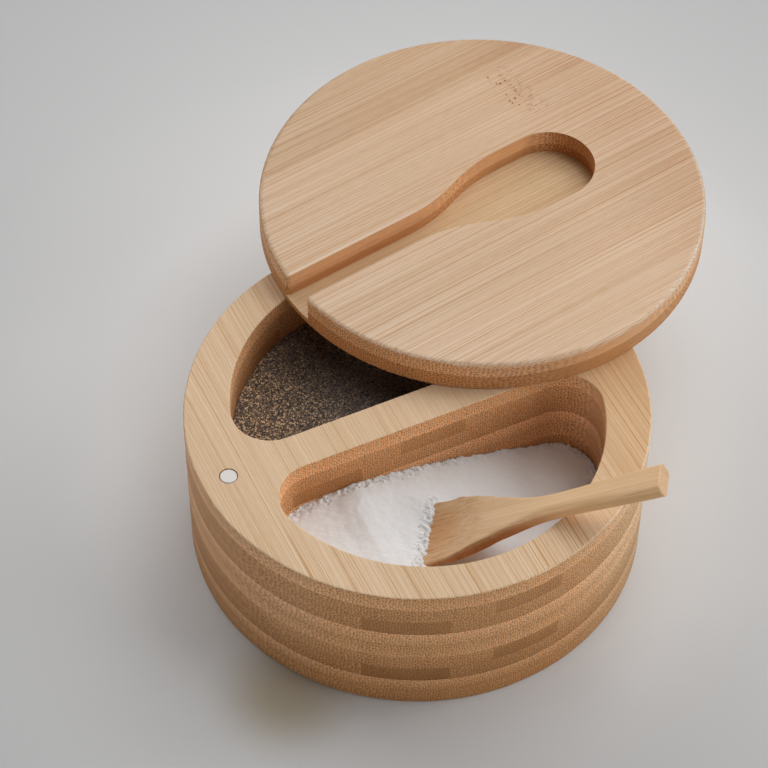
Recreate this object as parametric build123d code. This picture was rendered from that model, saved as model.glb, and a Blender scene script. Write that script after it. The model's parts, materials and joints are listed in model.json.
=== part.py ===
from build123d import *
import math
import os

# Round salt and pepper box of laminated bamboo. A block of glued plies holds two
# milled pockets, one for salt and one for pepper. A flat lid of two plies turns on a
# hidden steel pin near the rim and snaps shut with a pair of magnets. The lid's top
# has a recess for the spoon, which stands in the salt here.
# Origin: centre of the underside. +X points to the pivot pin, +Y to the pepper.
# Lengths are in millimetres and angles in degrees.

# Body: the block and the lid share one diameter
body_diameter = 140.0
ply_thickness = 5.95
ply_count = 9
block_top_ease = 0.6
block_foot_ease = 1.0

# Pockets: each is an arc closed by the divider, with rounded corners. The wall is
# thicker at the ends of the divider, where the pin and the magnet stand.
rim_wall = 11.2
end_wall = 15.8
divider_thickness = 12.0
pocket_corner_radius = 12.0
pocket_depth = 43.5
pocket_edge_ease = 0.4

# Lid, with the spoon recess milled into its top
lid_lower_thickness = 5.7
lid_upper_thickness = 5.4
lid_top_ease = 1.6
lid_under_ease = 0.4
lid_clearance = 0.1
lid_opened_angle = 80.8
recess_depth = 8.8
channel_width = 10.2
bulb_width = 28.4
bulb_offset = 1.9
bulb_centre_y = 25.0
left_neck_start_y = 14.0
left_neck_length = 38.0
right_neck_start_y = 18.0
right_neck_length = 47.0
mouth_round = 1.5

# Pivot pin and closing magnets, on one diameter of the block
pin_inset = 8.7
pin_diameter = 6.0
pin_running_gap = 0.05
pin_block_depth = 16.0
pin_lid_depth = 8.0
pin_end_gap = 0.3
pin_end_bevel = 0.5
magnet_inset = 8.6
magnet_diameter = 5.2
magnet_height = 3.0
magnet_glue_gap = 0.2
magnet_bevel = 0.25

# Spoon: a flat paddle with a shallow round hollow
spoon_length = 93.0
scoop_width = 24.8
spoon_neck_width = 7.4
spoon_neck_at = 58.0
spoon_end_width = 9.9
spoon_thickness = 5.2
spoon_tip_thickness = 1.8
scoop_length = 45.0
hollow_length = 33.0
hollow_depth = 1.8
hollow_lip = 0.8
spoon_under_bevel = 0.9

# How the spoon stands in the salt, with its handle on the pocket's rim
spoon_tilt = 32.0
spoon_heading = -34.1
spoon_reach = 56.5
spoon_contact_angle = -71.3
spoon_contact_side = -3.9
spoon_clearance = 0.3

# Contents
fill_gap = 0.15
salt_high_level = 36.8
salt_low_level = 19.0
salt_crest_x = -24.0
salt_left_level = 33.5
salt_end_slope = -0.2
pepper_level = 36.5

# Worked out from the sizes above
body_radius = body_diameter / 2
block_height = ply_thickness * ply_count
pocket_floor = block_height - pocket_depth
pocket_arc_radius = body_radius - end_wall
pocket_arc_y = end_wall - rim_wall
pivot_offset = body_radius - pin_inset
magnet_offset = body_radius - magnet_inset
lid_underside = block_height + lid_clearance
lid_thickness = lid_lower_thickness + lid_upper_thickness
lid_top = lid_underside + lid_thickness
pin_bottom = block_height - pin_block_depth
pin_top = lid_underside + pin_lid_depth - pin_end_gap
cut_margin = 1.0
channel_reach = body_radius + mouth_round + cut_margin
turn_lid = Pos(pivot_offset, 0, 0) * Rot(0, 0, -lid_opened_angle) * Pos(-pivot_offset, 0, 0)
stand_up = (Align.CENTER, Align.CENTER, Align.MIN)
same_place = 0.001


def disc(radius, bottom, height, x=0.0, y=0.0):
    """A plain upright cylinder that stands on the level bottom."""
    return Pos(x, y, bottom) * Cylinder(radius, height, align=stand_up)


def edges_at(shape, level):
    """The edges that lie flat at one level."""
    return shape.edges().filter_by_position(Axis.Z, level - same_place, level + same_place)


def pocket_outline(side, gap=0.0):
    """Plan of one pocket, drawn in by gap. side is 1 for pepper and -1 for salt."""
    radius = pocket_arc_radius - gap
    chord_y = divider_thickness / 2 + gap
    round_wall = Pos(0, side * pocket_arc_y) * Circle(radius)
    half_plane = Pos(0, side * (chord_y + radius)) * Rectangle(3 * radius, 2 * radius)
    outline = round_wall & half_plane
    return fillet(outline.vertices(), pocket_corner_radius - gap)


def prism(outline, bottom, top):
    """A plan outline raised from one level to another."""
    return Pos(0, 0, bottom) * extrude(outline, top - bottom)


def make_block_plies():
    """The glued plies of the block, lowest first, with pockets and holes cut through them."""
    pockets = [prism(pocket_outline(side), pocket_floor, block_height + cut_margin) for side in (1, -1)]
    pin_hole = disc(
        pin_diameter / 2 + pin_running_gap,
        pin_bottom,
        pin_block_depth + cut_margin,
        pivot_offset,
    )
    magnet_hole = disc(
        magnet_diameter / 2 + magnet_glue_gap,
        block_height - magnet_height,
        magnet_height + cut_margin,
        -magnet_offset,
    )
    plies = []
    for index in range(ply_count):
        bottom = index * ply_thickness
        ply = disc(body_radius, bottom, ply_thickness)
        if index == 0:
            ply = fillet(edges_at(ply, 0.0), block_foot_ease)
        if index == ply_count - 1:
            ply = fillet(edges_at(ply, block_height), block_top_ease)
        for cutter in pockets + [pin_hole, magnet_hole]:
            ply = ply - cutter
        if index == ply_count - 1:
            rims = [e for e in edges_at(ply, block_height) if is_pocket_edge(e)]
            ply = fillet(rims, pocket_edge_ease)
        plies.append(ply)
    return plies


def is_pocket_edge(edge):
    """True for an edge of a pocket's mouth, and not of the rim or of a round hole."""
    middle = edge.position_at(0.5)
    from_centre = math.hypot(middle.X, middle.Y)
    off_pin = abs(middle.X - pivot_offset) > pin_diameter
    off_magnet = abs(middle.X + magnet_offset) > magnet_diameter
    return from_centre < body_radius - rim_wall / 2 and off_pin and off_magnet


def neck(start, end):
    """Two equal arcs that leave start along -Y and reach end along -Y."""
    middle = ((start[0] + end[0]) / 2, (start[1] + end[1]) / 2)
    first = TangentArc(start, middle, tangent=(0, -1))
    second = TangentArc(middle, end, tangent=first % 1)
    return [first, second]


def recess_outline():
    """Plan of the spoon recess: a channel open at the rim, an S-shaped neck and a round bulb."""
    half_channel = channel_width / 2
    left = bulb_offset - bulb_width / 2
    right = bulb_offset + bulb_width / 2
    left_start = (left, left_neck_start_y)
    left_end = (-half_channel, left_neck_start_y - left_neck_length)
    right_start = (right, right_neck_start_y)
    right_end = (half_channel, right_neck_start_y - right_neck_length)
    crown = (bulb_offset, bulb_centre_y + bulb_width / 2)
    edges = [
        ThreePointArc((left, bulb_centre_y), crown, (right, bulb_centre_y)),
        Line((right, bulb_centre_y), right_start),
        *neck(right_start, right_end),
        Line(right_end, (half_channel, -channel_reach)),
        Line((half_channel, -channel_reach), (-half_channel, -channel_reach)),
        Line((-half_channel, -channel_reach), left_end),
        *neck(left_start, left_end),
        Line(left_start, (left, bulb_centre_y)),
    ]
    return make_face(edges)


def lid_plan():
    """Plan of the lid above the recess floor, with the two corners of the mouth rounded."""
    plan = Circle(body_radius) - recess_outline()
    corners = [v for v in plan.vertices() if math.hypot(v.X, v.Y) > body_radius - same_place and v.Y < 0]
    return fillet(corners, mouth_round)


def make_lid_plies():
    """Lower and upper ply of the lid, drawn closed."""
    recess_floor = lid_top - recess_depth
    plan = lid_plan()
    blank = disc(body_radius, lid_underside, lid_thickness)
    blank = fillet(edges_at(blank, lid_top), lid_top_ease)
    blank = fillet(edges_at(blank, lid_underside), lid_under_ease)
    floor_disc = disc(body_radius, lid_underside, recess_floor - lid_underside)
    walls = prism(plan, recess_floor, lid_top)
    body = blank & (floor_disc + walls)
    pin_hole = disc(
        pin_diameter / 2 + pin_running_gap,
        lid_underside - cut_margin,
        pin_lid_depth + cut_margin,
        pivot_offset,
    )
    magnet_hole = disc(
        magnet_diameter / 2 + magnet_glue_gap,
        lid_underside - cut_margin,
        magnet_height + cut_margin,
        -magnet_offset,
    )
    body = body - pin_hole - magnet_hole
    lower_half = disc(
        body_radius + cut_margin,
        lid_underside - cut_margin,
        lid_lower_thickness + cut_margin,
    )
    return body & lower_half, body - lower_half


def make_pivot_pin():
    """Steel pin that stands in the block and carries the lid."""
    pin = disc(pin_diameter / 2, pin_bottom, pin_top - pin_bottom, pivot_offset)
    return chamfer(edges_at(pin, pin_bottom) + edges_at(pin, pin_top), pin_end_bevel)


def make_magnet(bottom):
    """One closing magnet. The pair meets face to face when the lid is shut."""
    magnet = disc(magnet_diameter / 2, bottom, magnet_height, -magnet_offset)
    return chamfer(edges_at(magnet, bottom) + edges_at(magnet, bottom + magnet_height), magnet_bevel)


def spoon_plan(gap=0.0, lead=0.0):
    """Plan of the spoon, handle along +X, grown all round by gap and past its tip by lead."""
    half_scoop = scoop_width / 2 + gap
    half_neck = spoon_neck_width / 2 + gap
    half_end = spoon_end_width / 2 + gap
    end_x = spoon_length + gap
    widest = half_scoop - gap
    foremost = widest - lead
    edges = [
        ThreePointArc((foremost, half_scoop), (foremost - half_scoop, 0), (foremost, -half_scoop)),
        Line((end_x, half_end), (end_x, -half_end)),
    ]
    for side in (1, -1):
        shoulder = (widest, side * half_scoop)
        waist = (spoon_neck_at, side * half_neck)
        corner = (end_x, side * half_end)
        edges.append(Spline(shoulder, waist, tangents=((1, 0), (1, 0))))
        edges.append(Spline(waist, corner, tangents=((1, 0), (1, 0))))
        if lead > 0:
            edges.append(Line((foremost, side * half_scoop), shoulder))
    return make_face(edges)


def spoon_side():
    """Side view of the spoon in its X and Z, top face on Z = 0."""
    under = -spoon_thickness
    edges = [
        Line((0, 0), (spoon_length, 0)),
        Line((spoon_length, 0), (spoon_length, under)),
        Line((spoon_length, under), (scoop_length, under)),
        TangentArc((scoop_length, under), (0, -spoon_tip_thickness), tangent=(-1, 0)),
        Line((0, -spoon_tip_thickness), (0, 0)),
    ]
    return make_face([Plane.XZ * e for e in edges])


def make_spoon_flat():
    """The spoon lying level, tip at the origin, top face on Z = 0."""
    blank = extrude(spoon_plan(), spoon_thickness, dir=(0, 0, -1))
    section = Pos(0, scoop_width, 0) * extrude(spoon_side(), 2 * scoop_width, dir=(0, -1, 0))
    spoon = blank & section
    low_edges = edges_at(spoon, -spoon_thickness)
    not_the_end = [e for e in low_edges if e.position_at(0.5).X < spoon_length - same_place]
    under = [e for e in not_the_end if abs(e.position_at(0.5).Y) > same_place]
    spoon = chamfer(under, spoon_under_bevel)
    half_chord = hollow_length / 2
    sphere_radius = (half_chord**2 + hollow_depth**2) / (2 * hollow_depth)
    hollow = Pos(hollow_lip + half_chord, 0, sphere_radius - hollow_depth) * Sphere(sphere_radius)
    return spoon - hollow


def spoon_place():
    """Where the spoon stands: its handle's lower edge clears the pocket's rim by the clearance."""
    angle = math.radians(spoon_contact_angle)
    heading = math.radians(spoon_heading)
    tilt = math.radians(spoon_tilt)
    rim_point = Vector(
        pocket_arc_radius * math.cos(angle),
        pocket_arc_radius * math.sin(angle) - pocket_arc_y,
        block_height,
    )
    along = Vector(math.cos(tilt) * math.cos(heading), math.cos(tilt) * math.sin(heading), math.sin(tilt))
    across = Vector(-math.sin(heading), math.cos(heading), 0)
    up = along.cross(across)
    drop = spoon_thickness + spoon_clearance
    tip = rim_point - along * spoon_reach - across * spoon_contact_side + up * drop
    return Location(Plane(origin=tip, x_dir=along, z_dir=up))


def spoon_room():
    """The space that the spoon takes in the salt, open upwards so that it lifts straight out."""
    drop = spoon_thickness + spoon_clearance
    lead = drop * math.tan(math.radians(spoon_tilt))
    under = Pos(0, 0, -drop) * spoon_plan(spoon_clearance, lead)
    return extrude(spoon_place() * under, 2 * block_height, dir=(0, 0, 1))


def make_salt():
    """Salt in the -Y pocket, heaped towards the magnet and scooped low towards the pivot."""
    edge_x = pocket_arc_radius
    surface = Spline(
        (-edge_x, salt_left_level),
        (salt_crest_x, salt_high_level),
        (edge_x, salt_low_level),
        tangents=((1, 0), (1, salt_end_slope)),
    )
    edges = [
        surface,
        Line((edge_x, salt_low_level), (edge_x, pocket_floor)),
        Line((edge_x, pocket_floor), (-edge_x, pocket_floor)),
        Line((-edge_x, pocket_floor), (-edge_x, salt_left_level)),
    ]
    profile = make_face([Plane.XZ * e for e in edges])
    heap = extrude(profile, 2 * body_radius, dir=(0, -1, 0))
    walls = prism(pocket_outline(-1, fill_gap), pocket_floor, block_height)
    return (heap & walls) - spoon_room()


def make_pepper():
    """Ground pepper in the +Y pocket, levelled."""
    return prism(pocket_outline(1, fill_gap), pocket_floor, pepper_level)


def build_parts():
    """Every piece by its node name."""
    pieces = {f"block_ply_{i + 1}": ply for i, ply in enumerate(make_block_plies())}
    lower, upper = make_lid_plies()
    pieces["lid_lower_ply"] = turn_lid * lower
    pieces["lid_upper_ply"] = turn_lid * upper
    pieces["pivot_pin"] = make_pivot_pin()
    pieces["block_magnet"] = make_magnet(block_height - magnet_height)
    pieces["lid_magnet"] = turn_lid * make_magnet(lid_underside)
    pieces["spoon"] = spoon_place() * make_spoon_flat()
    pieces["salt_fill"] = make_salt()
    pieces["pepper_fill"] = make_pepper()
    return pieces


os.makedirs("parts", exist_ok=True)
for node, shape in build_parts().items():
    export_step(shape, f"parts/{node}.step")
    print(node, len(shape.solids()), round(shape.volume, 1))
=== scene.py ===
import json
import math

import bmesh
import bpy
import numpy as np
from bpy.props import FloatProperty, FloatVectorProperty, IntProperty, PointerProperty
from mathutils import Euler, Matrix, Vector, noise


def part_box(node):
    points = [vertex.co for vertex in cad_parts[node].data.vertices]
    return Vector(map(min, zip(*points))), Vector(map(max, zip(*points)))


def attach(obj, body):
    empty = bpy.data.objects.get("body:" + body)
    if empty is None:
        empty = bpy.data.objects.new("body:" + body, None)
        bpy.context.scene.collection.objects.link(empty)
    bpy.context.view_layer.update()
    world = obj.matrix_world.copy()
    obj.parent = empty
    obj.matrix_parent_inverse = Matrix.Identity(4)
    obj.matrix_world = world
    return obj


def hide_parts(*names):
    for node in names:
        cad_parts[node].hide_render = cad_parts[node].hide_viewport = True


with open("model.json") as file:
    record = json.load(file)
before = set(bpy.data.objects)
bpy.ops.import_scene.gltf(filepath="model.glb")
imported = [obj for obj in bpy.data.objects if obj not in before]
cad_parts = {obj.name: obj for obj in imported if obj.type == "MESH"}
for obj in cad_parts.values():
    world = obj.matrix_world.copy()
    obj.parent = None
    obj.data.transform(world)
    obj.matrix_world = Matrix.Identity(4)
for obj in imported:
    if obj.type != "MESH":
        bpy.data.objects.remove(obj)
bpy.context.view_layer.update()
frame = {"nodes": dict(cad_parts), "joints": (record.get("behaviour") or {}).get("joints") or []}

# Dresses the round bamboo salt and pepper box: laminated bamboo on the block and the
# lid, a carved spoon, a heap of salt, a bed of ground pepper, and a pale studio stage.
# Blender's own lengths are in metres. The patterns and the plans are in millimetres, so
# MM turns metres into them.

bl_info = {
    "name": "Bamboo Salt and Pepper Box",
    "version": (1, 0, 0),
    "blender": (4, 5, 0),
    "location": "3D View > Sidebar > Salt Box",
    "description": "Finishes a round bamboo salt and pepper box with its spoon, salt and pepper",
    "category": "Object",
}

MM = 1000.0
PLY_COUNT = 9
BLOCK_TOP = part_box("block_ply_9")[1].z
PLY_THICKNESS = BLOCK_TOP / PLY_COUNT
LID_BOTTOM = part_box("lid_lower_ply")[0].z
LID_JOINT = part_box("lid_lower_ply")[1].z
LID_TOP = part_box("lid_upper_ply")[1].z
MAGNET = (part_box("block_magnet")[0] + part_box("block_magnet")[1]) / 2
LID_HINGE = frame["joints"][0]
PIVOT = Vector(LID_HINGE["pos_m"])
LID_TURN = math.radians(LID_HINGE["range_deg"][1])


def linear(red, green, blue):
    """A colour as linear values, from its three screen values out of 255."""
    return tuple(
        c / 12.92 if c <= 0.04045 else ((c + 0.055) / 1.055) ** 2.4
        for c in (red / 255, green / 255, blue / 255)
    )


# Settings


def colour(name, description, default):
    """A colour that a user can change."""
    return FloatVectorProperty(
        name=name, description=description, default=default, size=3, min=0, max=1, subtype="COLOR"
    )


class BambooSettings(bpy.types.PropertyGroup):
    """Colours and grain of the laminated bamboo."""

    pale: colour("Pale", "Ground colour along the grain", linear(220, 193, 166))
    brown: colour("Brown", "Streaks along the grain", linear(182, 132, 84))
    end_pale: colour("End pale", "Ground colour across the grain", linear(227, 169, 113))
    end_brown: colour("End brown", "Fibre bundles across the grain", linear(140, 85, 45))
    bundle: FloatProperty(
        name="Bundle spacing", description="Distance between fibre bundles, in millimetres", default=0.76
    )


class SaltSettings(bpy.types.PropertyGroup):
    """The heap of salt."""

    clump: FloatProperty(
        name="Clump height", description="Height of the clumps", default=0.0008, unit="LENGTH"
    )
    grain: FloatProperty(name="Grain", description="Size of a grain", default=0.00038, unit="LENGTH")
    grains: IntProperty(name="Grains", description="Number of loose grains", default=9000)
    seed: IntProperty(name="Seed", description="Seed of the grains", default=4)


class PepperSettings(bpy.types.PropertyGroup):
    """The bed of ground pepper."""

    flake: FloatProperty(name="Flake", description="Size of a flake", default=0.00055, unit="LENGTH")
    flakes: IntProperty(name="Flakes", description="Number of flakes", default=12000)
    seed: IntProperty(name="Seed", description="Seed of the flakes", default=9)


class SpoonSettings(bpy.types.PropertyGroup):
    """How softly the spoon is sanded."""

    voxel: FloatProperty(
        name="Mesh size", description="Size of the spoon's mesh cells", default=0.00035, unit="LENGTH"
    )
    sanding: IntProperty(name="Sanding", description="Passes that soften the edges", default=3)


class StageSettings(bpy.types.PropertyGroup):
    """Floor, lights and camera."""

    floor: colour("Floor", "Colour of the floor", linear(203, 203, 203))
    sky: FloatProperty(name="Sky", description="Strength of the even light", default=0.02)
    power: FloatProperty(
        name="Power", description="Power of all the lights together", default=33.3, unit="POWER"
    )
    softness: FloatProperty(name="Softness", description="Side of each light", default=0.9, unit="LENGTH")
    lens: FloatProperty(name="Lens", description="Focal length in millimetres", default=131.885)


class SaltBoxSettings(bpy.types.PropertyGroup):
    """All the settings of the box."""

    bamboo: PointerProperty(type=BambooSettings)
    salt: PointerProperty(type=SaltSettings)
    pepper: PointerProperty(type=PepperSettings)
    spoon: PointerProperty(type=SpoonSettings)
    stage: PointerProperty(type=StageSettings)


# Node trees


class Wiring:
    """Adds nodes to one tree and joins them. Inputs are sockets or plain values."""

    def __init__(self, tree):
        self.tree = tree

    def put(self, socket, value):
        """Joins a socket to another one, or sets its value. A colour may leave out its alpha."""
        if isinstance(value, bpy.types.NodeSocket):
            self.tree.links.new(value, socket)
        elif hasattr(socket.default_value, "__len__") and len(socket.default_value) == 4:
            socket.default_value = (*value, 1.0) if len(value) == 3 else value
        else:
            socket.default_value = value

    def node(self, kind, inputs=None, **settings):
        """One node, with its settings and its inputs by name or number."""
        made = self.tree.nodes.new(kind)
        for key, value in settings.items():
            setattr(made, key, value)
        for key, value in (inputs or {}).items():
            self.put(made.inputs[key], value)
        return made

    def place(self):
        """The place on the object, in metres."""
        return self.node("ShaderNodeTexCoord").outputs["Object"]

    def math(self, operation, first, second=0.0, third=0.0, clamp=False):
        made = self.node("ShaderNodeMath", operation=operation, use_clamp=clamp)
        for index, value in enumerate((first, second, third)):
            self.put(made.inputs[index], value)
        return made.outputs[0]

    def scaled(self, value, factor, rest, clamp=False):
        """The value times a factor, plus the rest."""
        return self.math("MULTIPLY_ADD", value, factor, rest, clamp)

    def times(self, *values):
        """The product of all the values."""
        made = values[0]
        for value in values[1:]:
            made = self.math("MULTIPLY", made, value)
        return made

    def vector(self, operation, first, second=(0, 0, 0)):
        made = self.node("ShaderNodeVectorMath", operation=operation)
        self.put(made.inputs[0], first)
        self.put(made.inputs[1], second)
        return made.outputs[0]

    def length(self, value):
        """How long a vector is."""
        return self.node("ShaderNodeVectorMath", {"Vector": value}, operation="LENGTH").outputs["Value"]

    def split(self, value):
        return self.node("ShaderNodeSeparateXYZ", {"Vector": value}).outputs

    def join(self, x, y, z):
        return self.node("ShaderNodeCombineXYZ", {"X": x, "Y": y, "Z": z}).outputs[0]

    def step(self, value, low, high):
        """0 at low and before it, 1 at high and past it, smooth between. Low may be the larger one."""
        made = self.node("ShaderNodeMapRange", interpolation_type="SMOOTHSTEP")
        for key, item in (("Value", value), ("From Min", low), ("From Max", high)):
            self.put(made.inputs[key], item)
        return made.outputs["Result"]

    def band(self, value, rise, fall):
        """1 between two soft edges. Each edge says where it is 0 and where it is 1."""
        return self.times(self.step(value, *rise), self.step(value, *fall))

    def blend(self, share, first, second, mode="MIX"):
        made = self.node("ShaderNodeMix", data_type="RGBA", blend_type=mode)
        self.put(made.inputs["Factor"], share)
        self.put(made.inputs[6], first)
        self.put(made.inputs[7], second)
        return made.outputs[2]

    def tint(self, share, ground, factors):
        """A colour times three factors, as far as share says."""
        return self.blend(share, ground, self.blend(1.0, ground, factors, "MULTIPLY"))

    def noise(self, place, detail=2.0, roughness=0.5):
        made = self.node("ShaderNodeTexNoise", {"Vector": place, "Scale": 1.0, "Detail": detail})
        self.put(made.inputs["Roughness"], roughness)
        return made.outputs["Fac"]

    def cells(self, place, scale=1.0, randomness=1.0, **settings):
        """Round cells: the distance from a cell's middle, and a random colour for each cell."""
        given = {"Vector": place, "Scale": scale, "Randomness": randomness}
        return self.node("ShaderNodeTexVoronoi", given, **settings).outputs

    def ramp(self, value, stops, smooth=False):
        """Greys in steps, or smooth: stops is a list of (position, grey)."""
        made = self.node("ShaderNodeValToRGB", {"Fac": value})
        ramp = made.color_ramp
        ramp.interpolation = "LINEAR" if smooth else "CONSTANT"
        while len(ramp.elements) < len(stops):
            ramp.elements.new(0.5)
        for element, (position, grey) in zip(ramp.elements, stops):
            element.position = position
            element.color = (grey, grey, grey, 1.0)
        return made.outputs["Color"]

    def paint(self, shader, colour, roughness):
        """Gives a shader its colour and its roughness."""
        self.put(shader.inputs["Base Color"], colour)
        self.put(shader.inputs["Roughness"], roughness)

    def raise_surface(self, shader, height, strength, distance):
        """Bumps a shader's surface. distance is what a height of 1 stands for, in metres."""
        given = {"Strength": strength, "Distance": distance, "Height": height}
        self.put(shader.inputs["Normal"], self.node("ShaderNodeBump", given).outputs["Normal"])


def new_group(name, inputs, outputs):
    """An empty shader group, with its wiring and its two ends."""
    tree = bpy.data.node_groups.new(name, "ShaderNodeTree")
    for label, kind, default in inputs:
        made = tree.interface.new_socket(name=label, in_out="INPUT", socket_type=kind)
        if default is not None:
            made.default_value = default
    for label, kind in outputs:
        tree.interface.new_socket(name=label, in_out="OUTPUT", socket_type=kind)
    start = tree.nodes.new("NodeGroupInput")
    end = tree.nodes.new("NodeGroupOutput")
    return tree, Wiring(tree), start.outputs, end.inputs


# Bamboo in any cut: the share of brown along the grain before its streaks, the height of a fibre
# bundle's cell as a share of its width, how far the bundles stray from an even grid, and the tones
# of a strip whose bundles are densest and loosest
GROUND_SHARE = 0.3
BUNDLE_HEIGHT = 0.92
BUNDLE_STRAY = 0.58
DENSE_TONE, LOOSE_TONE = 0.62, 0.95


def bamboo_group():
    """Bamboo cut in any direction. Its fibre bundles run along Y: a face that cuts across them shows
    their dark dots, and a face that runs along them shows long streaks. Sizes are in mm."""
    if "Bamboo" in bpy.data.node_groups:
        return bpy.data.node_groups["Bamboo"]
    grey, place, tint = "NodeSocketFloat", "NodeSocketVector", "NodeSocketColor"
    tree, w, given, result = new_group(
        "Bamboo",
        [
            ("Place", place, None), ("Facing", place, None), ("Tone", grey, 1.0), ("Ply Tone", grey, 1.0),
            ("Slope", grey, 0.0), ("Height In Ply", grey, 0.5), ("Pale", tint, None), ("Brown", tint, None),
            ("End Pale", tint, None), ("End Brown", tint, None), ("Bundle", grey, 0.76),
            ("Seed", grey, 0.0), ("Streaks", grey, 1.0), ("Lines", grey, 1.0),
        ],
        [("Color", tint), ("Roughness", grey), ("Height", grey)],
    )
    x, y, z = w.split(given["Place"])
    # each strip is its own piece of cane, so the pattern starts anew where the tone changes
    start = w.scaled(given["Seed"], 17.3, w.times(given["Tone"], 311.0))
    sway = w.noise(w.join(w.times(x, 0.05), w.times(y, 0.012), start), 1.0)
    x = w.scaled(w.math("SUBTRACT", sway, 0.5), 0.8, w.math("ADD", x, start))

    def streak(width, length, depth, detail=1.0):
        """Noise from -1 to 1 in streaks of this width, length and depth."""
        sides = (w.math("DIVIDE", x, width), w.math("DIVIDE", y, length), w.math("DIVIDE", z, depth))
        return w.scaled(w.noise(w.join(*sides), detail), 2.0, -1.0)

    broad = streak(9.0, 320.0, 7.0)
    middle = streak(1.9, 260.0, 1.9)
    fine = streak(0.3, 190.0, 0.4)
    brush = streak(0.3, 4.5, 0.35)
    lines = w.times(w.step(streak(0.36, 230.0, 0.6, 0.0), 0.34, 0.5), given["Lines"])

    # the fibre bundles, each a dot with its own strength
    size = given["Bundle"]
    drift = w.times(streak(6.0, 50.0, 6.0, 0.0), 0.6)
    cell = w.join(
        w.math("DIVIDE", w.math("ADD", x, drift), size),
        w.math("DIVIDE", w.math("SUBTRACT", z, drift), w.times(size, BUNDLE_HEIGHT)),
        0.0,
    )
    bundles = w.cells(cell, randomness=BUNDLE_STRAY, voronoi_dimensions="2D")
    dot = w.step(bundles["Distance"], 0.4, 0.22)
    strength = w.scaled(w.split(bundles["Color"])[0], 0.4, 0.7)

    # which way the surface faces: level, upright, and how squarely it cuts the fibres
    facing = w.split(given["Facing"])
    level = w.math("ABSOLUTE", facing[2])
    square = w.math("ABSOLUTE", facing[1])
    upright = w.step(level, 0.55, 0.15)
    across = w.times(w.step(square, 0.1, 0.75), w.step(level, 0.8, 0.45), 0.88)
    across = w.math("MAXIMUM", across, w.times(upright, 0.75))

    # along the grain, where each kind of streak brings its share of brown
    share = GROUND_SHARE
    for layer, weight in ((broad, 0.16), (middle, 0.09), (fine, 0.95), (brush, 0.22)):
        share = w.scaled(layer, weight, share)
    over = w.math("SUBTRACT", share, GROUND_SHARE)
    share = w.scaled(over, given["Streaks"], GROUND_SHARE)
    share = w.scaled(lines, 0.7, share, clamp=True)
    along_colour = w.blend(share, given["Pale"], given["Brown"])

    # across the grain, where darker strips are also denser and smoother
    dense = w.step(given["Tone"], LOOSE_TONE, DENSE_TONE)
    share = w.times(dot, strength, w.scaled(dense, -0.55, 1.0))
    share = w.math("SUBTRACT", w.scaled(dense, -0.2, 1.0), share)
    smooth = w.scaled(fine, 0.6, w.scaled(brush, 0.3, 0.73))
    share = w.scaled(w.math("SUBTRACT", share, smooth), w.step(square, 0.05, 0.5), smooth)
    share = w.scaled(broad, -0.15, share)
    share = w.scaled(brush, 0.1, share, clamp=True)
    across_colour = w.blend(share, given["End Brown"], given["End Pale"])

    # the outer side of the cane is darker, so an upright face shades up or down each ply, and
    # the glue leaves a line at its foot
    depth = given["Height In Ply"]
    line = w.step(depth, 0.06, 0.0)
    shade = w.scaled(w.math("SUBTRACT", depth, 0.5), given["Slope"], 1.0)
    shade = w.times(shade, w.scaled(line, -0.22, 1.0), given["Ply Tone"])
    shade = w.scaled(w.math("SUBTRACT", shade, 1.0), upright, 1.0)
    shade = w.times(given["Tone"], shade)
    # a darker strip is also redder
    parts = {"Red": w.math("POWER", shade, 0.8), "Green": shade, "Blue": w.math("POWER", shade, 1.35)}
    tone = w.node("ShaderNodeCombineColor", parts).outputs[0]
    mixed = w.blend(across, along_colour, across_colour)
    w.put(result["Color"], w.blend(1.0, mixed, tone, "MULTIPLY"))
    rough = w.scaled(fine, 0.06, 0.48)
    w.put(result["Roughness"], w.scaled(across, 0.12, rough))
    w.put(result["Height"], w.scaled(fine, 0.25, w.times(dot, across, -0.8)))
    return tree


def new_material(name):
    """A material with its shader, and the wiring to add to it."""
    made = bpy.data.materials.new(name)
    made.use_nodes = True
    shader = made.node_tree.nodes["Principled BSDF"]
    return made, Wiring(made.node_tree), shader


# Strips are listed over this far to both sides of a ply's middle, in mm. A ramp holds greys up to 1
# and strips have tones up to 1.25, so it holds them at this share
STRIP_REACH = 75.0
HELD_SHARE = 0.8


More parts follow.
